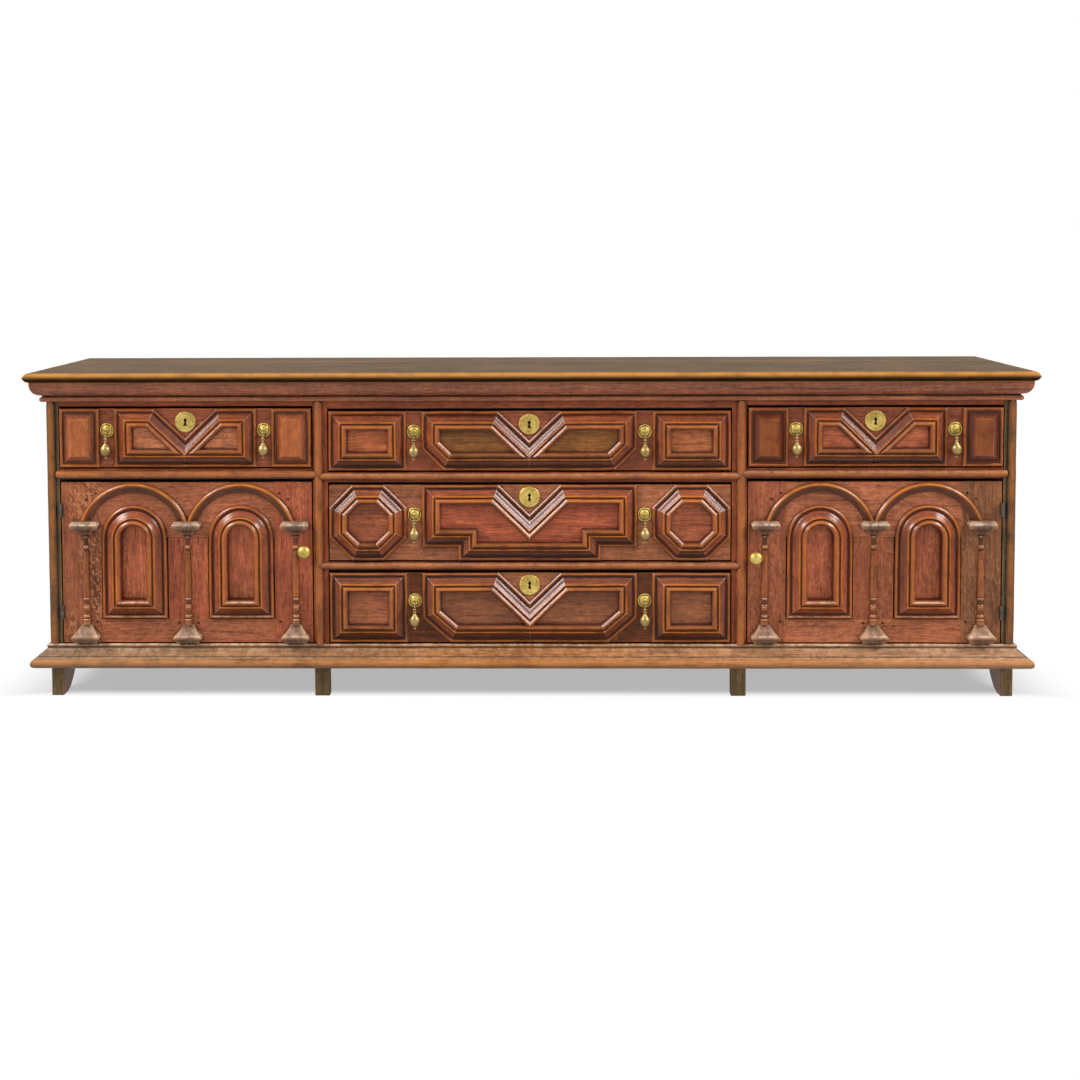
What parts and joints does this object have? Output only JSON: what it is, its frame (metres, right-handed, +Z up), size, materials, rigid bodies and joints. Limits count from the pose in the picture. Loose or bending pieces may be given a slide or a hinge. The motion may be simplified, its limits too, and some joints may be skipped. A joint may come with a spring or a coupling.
{
  "type": "dresser base",
  "caption": "Long low joined oak dresser base with geometric moulded drawers between two arcaded cupboard doors, on stile feet.",
  "frame": {"origin": "on the floor under the middle of the top, the centre of the bounding box's bottom face", "axes": "+X runs to the right as seen from the front, +Y to the back, +Z up; the drawers open towards -Y"},
  "size_m": [2.67, 0.58, 0.872],
  "materials": {
    "oak_top": "old oak, grey-brown, waxed, worn orange along the nosing",
    "oak_frame": "old oak, red-brown, waxed",
    "oak_mouldings": "old oak, red-brown with worn orange arrises, waxed",
    "oak_panels": "old oak, red-brown, waxed",
    "oak_inside": "unfinished oak, dry and dusty",
    "brass": "aged satin brass",
    "iron": "old dark wrought iron"
  },
  "bodies": {
    "carcass": {"top_front_plank": "oak_top", "top_back_plank": "oak_top", "cornice_moulding": "oak_mouldings", "base_moulding": "oak_mouldings", "corner_stiles": "oak_frame", "back_stiles": "oak_frame", "muntins": "oak_frame", "front_rails": "oak_frame", "bead_mouldings": "oak_mouldings", "side_frames": "oak_frame", "side_panels": "oak_panels", "back_frame": "oak_frame", "back_panels": "oak_inside", "partitions": "oak_inside", "floor_boards": "oak_inside", "drawer_runners": "oak_inside", "carcass_pegs": "oak_frame", "hinge_plates": "iron"},
    "left_drawer": {"left_drawer_front": "oak_panels", "left_drawer_box": "oak_inside", "left_drawer_mouldings": "oak_mouldings", "left_drawer_metalwork": "brass"},
    "left_drawer_drop_a": {"left_drawer_drop_a": "brass"},
    "left_drawer_drop_b": {"left_drawer_drop_b": "brass"},
    "right_drawer": {"right_drawer_front": "oak_panels", "right_drawer_box": "oak_inside", "right_drawer_mouldings": "oak_mouldings", "right_drawer_metalwork": "brass"},
    "right_drawer_drop_a": {"right_drawer_drop_a": "brass"},
    "right_drawer_drop_b": {"right_drawer_drop_b": "brass"},
    "upper_drawer": {"upper_drawer_front": "oak_panels", "upper_drawer_box": "oak_inside", "upper_drawer_mouldings": "oak_mouldings", "upper_drawer_metalwork": "brass"},
    "upper_drawer_drop_a": {"upper_drawer_drop_a": "brass"},
    "upper_drawer_drop_b": {"upper_drawer_drop_b": "brass"},
    "middle_drawer": {"middle_drawer_front": "oak_panels", "middle_drawer_box": "oak_inside", "middle_drawer_mouldings": "oak_mouldings", "middle_drawer_metalwork": "brass"},
    "middle_drawer_drop_a": {"middle_drawer_drop_a": "brass"},
    "middle_drawer_drop_b": {"middle_drawer_drop_b": "brass"},
    "low_drawer": {"low_drawer_front": "oak_panels", "low_drawer_box": "oak_inside", "low_drawer_mouldings": "oak_mouldings", "low_drawer_metalwork": "brass"},
    "low_drawer_drop_a": {"low_drawer_drop_a": "brass"},
    "low_drawer_drop_b": {"low_drawer_drop_b": "brass"},
    "left_door": {"left_door_frame": "oak_frame", "left_door_panels": "oak_panels", "left_door_mouldings": "oak_mouldings", "left_door_columns": "oak_mouldings", "left_door_knob": "brass", "left_door_hinges": "iron"},
    "right_door": {"right_door_frame": "oak_frame", "right_door_panels": "oak_panels", "right_door_mouldings": "oak_mouldings", "right_door_columns": "oak_mouldings", "right_door_knob": "brass", "right_door_hinges": "iron"}
  },
  "joints": [
    {"name": "left_drawer_slide", "type": "slide", "parent": "carcass", "child": "left_drawer", "axis": [0, -1, 0], "range_m": [0, 0.4]},
    {"name": "left_drawer_drop_a_swing", "type": "hinge", "parent": "left_drawer", "child": "left_drawer_drop_a", "pos_m": [-1.12525, -0.257, 0.7125], "axis": [-1, 0, 0], "range_deg": [0, 100]},
    {"name": "left_drawer_drop_b_swing", "type": "hinge", "parent": "left_drawer", "child": "left_drawer_drop_b", "pos_m": [-0.70575, -0.257, 0.7125], "axis": [-1, 0, 0], "range_deg": [0, 100]},
    {"name": "right_drawer_slide", "type": "slide", "parent": "carcass", "child": "right_drawer", "axis": [0, -1, 0], "range_m": [0, 0.4]},
    {"name": "right_drawer_drop_a_swing", "type": "hinge", "parent": "right_drawer", "child": "right_drawer_drop_a", "pos_m": [0.70575, -0.257, 0.7125], "axis": [-1, 0, 0], "range_deg": [0, 100]},
    {"name": "right_drawer_drop_b_swing", "type": "hinge", "parent": "right_drawer", "child": "right_drawer_drop_b", "pos_m": [1.12525, -0.257, 0.7125], "axis": [-1, 0, 0], "range_deg": [0, 100]},
    {"name": "upper_drawer_slide", "type": "slide", "parent": "carcass", "child": "upper_drawer", "axis": [0, -1, 0], "range_m": [0, 0.4]},
    {"name": "upper_drawer_drop_a_swing", "type": "hinge", "parent": "upper_drawer", "child": "upper_drawer_drop_a", "pos_m": [-0.30625, -0.257, 0.707], "axis": [-1, 0, 0], "range_deg": [0, 100]},
    {"name": "upper_drawer_drop_b_swing", "type": "hinge", "parent": "upper_drawer", "child": "upper_drawer_drop_b", "pos_m": [0.30625, -0.257, 0.707], "axis": [-1, 0, 0], "range_deg": [0, 100]},
    {"name": "middle_drawer_slide", "type": "slide", "parent": "carcass", "child": "middle_drawer", "axis": [0, -1, 0], "range_m": [0, 0.4]},
    {"name": "middle_drawer_drop_a_swing", "type": "hinge", "parent": "middle_drawer", "child": "middle_drawer_drop_a", "pos_m": [-0.30625, -0.257, 0.485], "axis": [-1, 0, 0], "range_deg": [0, 100]},
    {"name": "middle_drawer_drop_b_swing", "type": "hinge", "parent": "middle_drawer", "child": "middle_drawer_drop_b", "pos_m": [0.30625, -0.257, 0.485], "axis": [-1, 0, 0], "range_deg": [0, 100]},
    {"name": "low_drawer_slide", "type": "slide", "parent": "carcass", "child": "low_drawer", "axis": [0, -1, 0], "range_m": [0, 0.4]},
    {"name": "low_drawer_drop_a_swing", "type": "hinge", "parent": "low_drawer", "child": "low_drawer_drop_a", "pos_m": [-0.30625, -0.257, 0.254], "axis": [-1, 0, 0], "range_deg": [0, 100]},
    {"name": "low_drawer_drop_b_swing", "type": "hinge", "parent": "low_drawer", "child": "low_drawer_drop_b", "pos_m": [0.30625, -0.257, 0.254], "axis": [-1, 0, 0], "range_deg": [0, 100]},
    {"name": "left_door_swing", "type": "hinge", "parent": "carcass", "child": "left_door", "pos_m": [-1.2525, -0.245, 0.145], "axis": [0, 0, -1], "range_deg": [0, 105]},
    {"name": "right_door_swing", "type": "hinge", "parent": "carcass", "child": "right_door", "pos_m": [1.2525, -0.245, 0.145], "axis": [0, 0, 1], "range_deg": [0, 105]}
  ]
}
